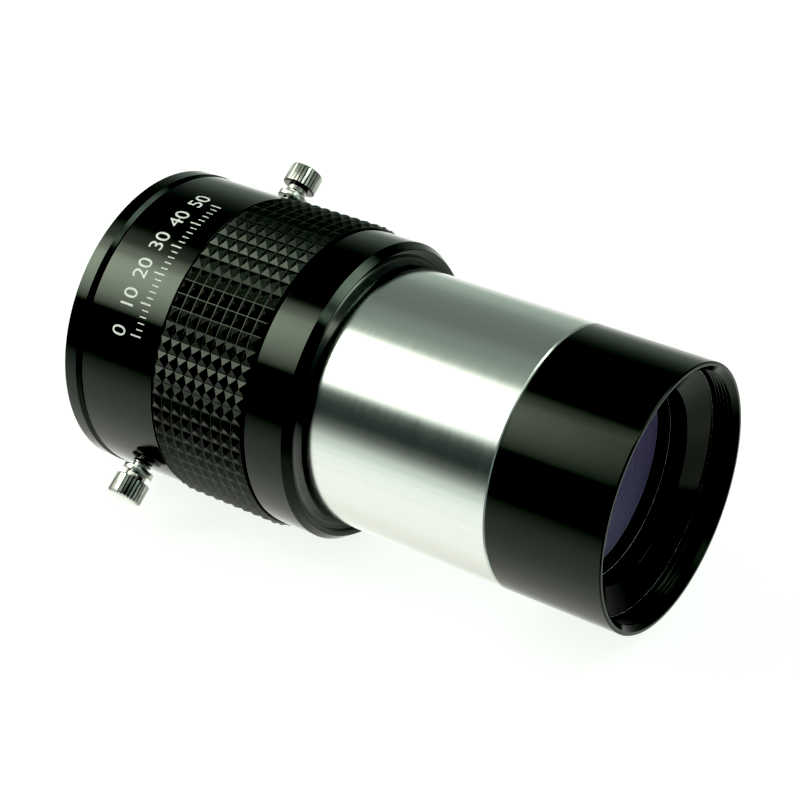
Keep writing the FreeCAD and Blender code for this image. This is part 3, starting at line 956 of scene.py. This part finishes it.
def build_lens_end(use):
    fixed(lens_cell(), use["black"], "black_anodised", "lens_cell")
    retainer = fixed(lens_retaining_ring(), use["black"], "black_anodised", "lens_retaining_ring")
    # painted highlight: the ring's front rim and the back edge of its bore are painted light grey,
    # as bare metal, so that they show as thin bright lines
    second_material(
        retainer, use["worn"],
        ((RETAINER_FRONT_X - 0.2, RETAINER_RIM_R - 0.2),
         (RETAINER_FRONT_X + 0.1, RETAINER_RIM_R + 0.12)),
        ((RETAINER_BACK_X, RETAINER_BORE_R - 0.1),
         (RETAINER_BACK_X + WORN_HIGHLIGHT_STRIP, RETAINER_BORE_R + 0.05)))
    fixed(lens_seat_ring(), use["black"], "black_anodised", "lens_seat_ring")
    front = fixed(front_lens_element(), use["violet"], "coated_glass_front", "front_lens_element")
    fixed(lens_spacer_ring(), use["matte"], "blackened_metal", "lens_spacer_ring")
    rear = fixed(rear_lens_element(), use["pale"], "coated_glass_rear", "rear_lens_element")
    rim = ((REAR_LENS_BACK_X - 1, POLISHED_R - 0.5), (SEAT_BACK_X + 1, LENS_R + 1))
    for lens in (front, rear):
        second_material(lens, use["ground"], rim)


def build_body(use):
    barrel = fixed(barrel_tube(), use["bright"], "bright_barrel", "barrel_tube")
    second_material(barrel, use["satin"],
                    ((TUBE_BACK_X - 1, TUBE_BORE_R - 1), (CELL_BACK_X + 1, TUBE_BORE_R + 0.1)))
    fixed(light_baffle(), use["matte"], "blackened_metal", "light_baffle")
    body = fixed(housing(), use["black"], "black_anodised", "housing")
    second_material(body, use["satin"],
                    ((HOUSING_BACK_X + 0.2, 0), (TUBE_BACK_X, COUNTERBORE_R + 0.1)))
    fixed(grip_sleeve(), use["rubber"], "grip_rubber", "grip_sleeve")
    fixed(compression_ring(), use["brass"], "brass", "compression_ring")
    fixed(end_ring(), use["black"], "black_anodised", "end_ring")


def build_screws(use):
    for name in SCREW_DEG:
        finish_piece(thumbscrew(name), name + "_screw", use["plated"], "chrome_screws",
                     "thumbscrew_" + name)
        finish_piece(thumbscrew_washer(name), name + "_washer", use["plated"], "chrome_screws",
                     "thumbscrew_washer_" + name)


def build_object():
    use = make_materials()
    build_lens_end(use)
    build_body(use)
    build_screws(use)
    scale = band_scale()
    scale.data.materials.append(scale_paint())
    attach(scale, "barlow")


# ---- studio ---------------------------------------------------------------------------
FLOOR_Z = -GRIP_PEAK_R * MM
CEILING_TINT = (0.82, 1.0, 0.86)
SOFTBOX_TINT = (0.97, 1.0, 0.86)
WALL_TINT = (0.72, 1.0, 0.88)
TABLE_TINT = (0.95, 1.0, 0.93)
DIM_TABLE_TINT = (0.88, 1.0, 0.88)
WARM_TABLE_TINT = (0.98, 1.0, 0.90)


def tinted(tint, *stops):
    """Light stops of one tint, from (degrees, brightness) pairs."""
    return [(degrees, value, tint) for degrees, value in stops]


# Light by angle round the optical axis: 0 is the horizon behind the object, 90 is overhead,
# 180 is the horizon in front of it and 270 is straight down.
REAR_LIGHT = [
    *tinted(CEILING_TINT, (0, 0.50), (13, 0.44), (21, 0.35), (29, 0.27), (38, 0.23), (62, 0.19),
            (70, 0.25), (86, 0.30), (98, 0.40)),
    *tinted(WALL_TINT, (150, 0.36), (155, 0.10), (161, 0.05), (176, 0.04)),
    *tinted(DIM_TABLE_TINT, (186, 0.20), (194, 0.66), (203, 0.96)),
    *tinted(TABLE_TINT, (213, 1.12), (244, 1.16)),
    *tinted(WARM_TABLE_TINT, (268, 1.02), (290, 0.78)),
    *tinted(TABLE_TINT, (309, 0.98), (340, 1.00), (352, 0.75)),
    *tinted(CEILING_TINT, (360, 0.50))]
FRONT_LIGHT = [
    *tinted(CEILING_TINT, (0, 0.25), (90, 0.25), (120, 0.20)),
    *tinted(WALL_TINT, (140, 0.06), (186, 0.06)),
    *tinted(DIM_TABLE_TINT, (196, 0.35), (207, 0.62)),
    *tinted(TABLE_TINT, (218, 0.75), (235, 0.85)),
    *tinted(DIM_TABLE_TINT, (260, 0.85), (285, 0.66), (303, 0.66), (322, 0.95)),
    *tinted(TABLE_TINT, (330, 0.85), (341, 0.35), (352, 0.25)),
    *tinted(CEILING_TINT, (360, 0.25))]
FAR_FRONT_LIGHT = [
    *tinted(CEILING_TINT, (0, 0.25), (120, 0.20)),
    *tinted(WALL_TINT, (140, 0.06), (186, 0.06)),
    *tinted(TABLE_TINT, (205, 0.30), (245, 0.35)),
    *tinted(DIM_TABLE_TINT, (275, 0.62), (290, 0.66), (315, 0.95)),
    *tinted(TABLE_TINT, (330, 0.80), (348, 0.35)),
    *tinted(CEILING_TINT, (360, 0.25))]
SOFTBOX = tinted(
    SOFTBOX_TINT, (0, 0.0), (99, 0.0), (103, 0.22), (106, 0.40), (109, 0.50), (113, 0.88),
    (117, 0.96), (121, 1.0), (126, 0.94), (130, 0.88), (135, 0.74), (139, 0.64), (145, 0.42),
    (149, 0.25), (153, 0.0), (360, 0.0))
SOFTBOX_HALO = tinted(
    SOFTBOX_TINT, (0, 0.0), (80, 0.0), (86, 0.25), (94, 1.0), (104, 1.0), (109, 0.0), (360, 0.0))
SOFTBOX_EDGE = tinted(
    SOFTBOX_TINT, (0, 0.0), (101, 0.0), (105, 1.0), (113, 1.0), (117, 0.0), (360, 0.0))
FAR_TABLE = tinted(
    TABLE_TINT, (0, 0.0), (272, 0.0), (290, 0.45), (300, 0.50), (335, 0.50), (350, 0.0),
    (360, 0.0))
SKYLIGHT = tinted(
    CEILING_TINT, (0, 0.0), (44, 0.0), (52, 0.45), (60, 0.95), (74, 1.0), (84, 0.72), (93, 0.18),
    (97, 0.22), (101, 0.45), (104, 0.48), (108, 0.10), (112, 0.0), (360, 0.0))
LOW_SKYLIGHT = tinted(
    CEILING_TINT, (0, 0.0), (38, 0.0), (45, 0.44), (54, 1.0), (62, 1.0), (70, 0.0), (360, 0.0))
BACK_SOFTBOX = tinted(
    SOFTBOX_TINT, (0, 0.0), (58, 0.0), (66, 1.0), (114, 1.0), (124, 0.0), (360, 0.0))
FAR_END_LIGHT = [
    *tinted(CEILING_TINT, (0, 0.28), (50, 0.30), (64, 0.42), (80, 0.80), (98, 0.80),
            (108, 0.45)),
    *tinted(WALL_TINT, (120, 0.30), (200, 0.25)),
    *tinted(TABLE_TINT, (262, 0.40), (280, 0.85), (287, 0.75), (298, 0.30)),
    *tinted(CEILING_TINT, (360, 0.28))]
SOFTBOX_STRENGTH = 8.0
BACK_SOFTBOX_STRENGTH = 2.2
LOW_SKYLIGHT_STRENGTH = 1.8
HALO_STRENGTH = 0.9
EDGE_STRENGTH = 1.6
SKYLIGHT_STRENGTH = 6.0
BACK_END_GREY = (0.45, 0.48, 0.45)
FLOOR_HALF_WIDTH = 6.0      # metres
BACKDROP_R = 5.5            # metres


class Sky(Nodes):
    """World lighting written by direction."""

    def __init__(self):
        made = bpy.data.worlds.new("studio")
        bpy.context.scene.world = made
        made.use_nodes = True
        super().__init__(made.node_tree)
        self.background = self.tree.nodes["Background"]
        split = self.node("ShaderNodeSeparateXYZ")
        self.link(self.node("ShaderNodeTexCoord").outputs["Generated"], split.inputs[0])
        self.along = split.outputs["X"]
        angle = self.maths("ARCTAN2", split.outputs["Z"], split.outputs["Y"])
        self.round = self.maths("FRACT", self.maths("DIVIDE", angle, 2 * math.pi))

    def maths(self, operation, first, second=None):
        made = self.node("ShaderNodeMath", operation=operation)
        for socket, value in zip(made.inputs, (first, second)):
            if isinstance(value, (int, float)):
                socket.default_value = value
            elif value is not None:
                self.link(value, socket)
        return made.outputs[0]

    def by_angle(self, stops, strength=1.0):
        """Colour round the optical axis, from (degrees, brightness, tint) stops."""
        return self.ramp(self.round, [
            (degrees / 360, tuple(strength * value * c for c in tint))
            for degrees, value, tint in stops])

    def by_x(self, near, far, smooth=True):
        """0 to 1 as the direction's X goes from near to far."""
        return self.map_range(self.along, near, far, smooth=smooth)

    def window(self, start, full_from, full_to, end):
        """1 between two values of the direction's X, and 0 outside."""
        return self.maths("MULTIPLY", self.by_x(start, full_from), self.by_x(end, full_to))


def base_light(sky):
    """The room and the table, from behind the object round to its front."""
    front = sky.mix(sky.by_x(0.43, 0.55), sky.by_angle(FRONT_LIGHT), sky.by_angle(FAR_FRONT_LIGHT))
    front = sky.mix(sky.by_x(0.65, 0.85), front, sky.by_angle(FAR_END_LIGHT))
    return sky.mix(sky.by_x(-0.10, 0.25), sky.by_angle(REAR_LIGHT), front)


def world():
    sky = Sky()
    light = base_light(sky)
    # Stops, strength, and where along X each light shows.
    layers = ((SOFTBOX, SOFTBOX_STRENGTH, sky.by_x(-0.35, -0.60, smooth=False)),
              (SOFTBOX_HALO, HALO_STRENGTH, sky.by_x(-0.55, -0.61)),
              (SOFTBOX_EDGE, EDGE_STRENGTH, sky.window(-0.42, -0.34, 0.15, 0.28)),
              (FAR_TABLE, 1.0, sky.by_x(-0.36, -0.60)),
              (LOW_SKYLIGHT, LOW_SKYLIGHT_STRENGTH, sky.window(0.18, 0.34, 0.38, 0.46)),
              (SKYLIGHT, SKYLIGHT_STRENGTH, sky.window(0.26, 0.48, 0.60, 0.74)))
    for stops, strength, share in layers:
        light = sky.mix(share, light, sky.by_angle(stops, strength), blend="ADD")
    light = sky.mix(sky.by_x(-0.70, -0.88), light, BACK_END_GREY)
    light = sky.mix(sky.window(-0.97, -0.92, -0.80, -0.72), light,
                    sky.by_angle(BACK_SOFTBOX, BACK_SOFTBOX_STRENGTH), blend="ADD")
    sky.link(light, sky.background.inputs["Color"])


def plain_white(name, colour, emission, strength):
    """Dull material that also glows."""
    material = bpy.data.materials.new(name)
    material.use_nodes = True
    shader = material.node_tree.nodes["Principled BSDF"]
    shader.inputs["Base Color"].default_value = (*colour, 1)
    shader.inputs["Roughness"].default_value = 0.9
    shader.inputs["Specular IOR Level"].default_value = 0.0
    shader.inputs["Emission Color"].default_value = (*emission, 1)
    shader.inputs["Emission Strength"].default_value = strength
    return material


def floor():
    """Pale table that glows a little. Gloss sees the table through the world's light."""
    size = FLOOR_HALF_WIDTH
    corners = [(-size, -size), (size, -size), (size, size), (-size, size)]
    mesh = bpy.data.meshes.new("floor")
    mesh.from_pydata([(x, y, FLOOR_Z) for x, y in corners], [], [(0, 1, 2, 3)])
    mesh.materials.append(plain_white("pale_floor", (0.25, 0.26, 0.25), (0.96, 1.0, 0.96), 0.90))
    ground = new_object("floor", mesh)
    ground.visible_glossy = False


def backdrop():
    """Plain bright dome that only the camera sees."""
    bm = bmesh.new()
    bmesh.ops.create_icosphere(bm, subdivisions=4, radius=BACKDROP_R)
    mesh = bpy.data.meshes.new("backdrop")
    bm.to_mesh(mesh)
    bm.free()
    mesh.materials.append(plain_white("pale_backdrop", (0, 0, 0), (1.0, 1.0, 1.0), 1.05))
    dome = new_object("backdrop", mesh)
    dome.visible_diffuse = dome.visible_glossy = dome.visible_transmission = False
    dome.visible_shadow = False


CAMERA_AZIMUTH, CAMERA_ELEVATION = 34.936, 31.288       # degrees
CAMERA_PLACE = (201.75, -283.05, 209.97)                # millimetres
CAMERA_LENS, SENSOR_WIDTH = 96.38, 36.0
BLACK_LEVEL = (0.0155, 0.0185, 0.016)


def camera():
    """Long lens, above and in front of the tip's left side."""
    azimuth, elevation = math.radians(CAMERA_AZIMUTH), math.radians(CAMERA_ELEVATION)
    level = math.cos(elevation)
    back = Vector((math.sin(azimuth) * level, -math.cos(azimuth) * level, math.sin(elevation)))
    data = bpy.data.cameras.new("camera")
    data.sensor_width = SENSOR_WIDTH
    data.lens = CAMERA_LENS
    data.clip_start, data.clip_end = 0.01, 20
    eye = bpy.data.objects.new("camera", data)
    bpy.context.scene.collection.objects.link(eye)
    eye.rotation_mode = "QUATERNION"
    eye.rotation_quaternion = (-back).to_track_quat("-Z", "Y")
    eye.location = Vector(CAMERA_PLACE) * MM
    bpy.context.scene.camera = eye


def tone():
    """Plain transfer with the deepest blacks crushed, as a contrasty print does."""
    settings = bpy.context.scene.view_settings
    settings.view_transform = "Standard"
    settings.use_curve_mapping = True
    settings.curve_mapping.black_level = BLACK_LEVEL
    settings.curve_mapping.update()


build_object()
floor()
backdrop()
world()
camera()
tone()
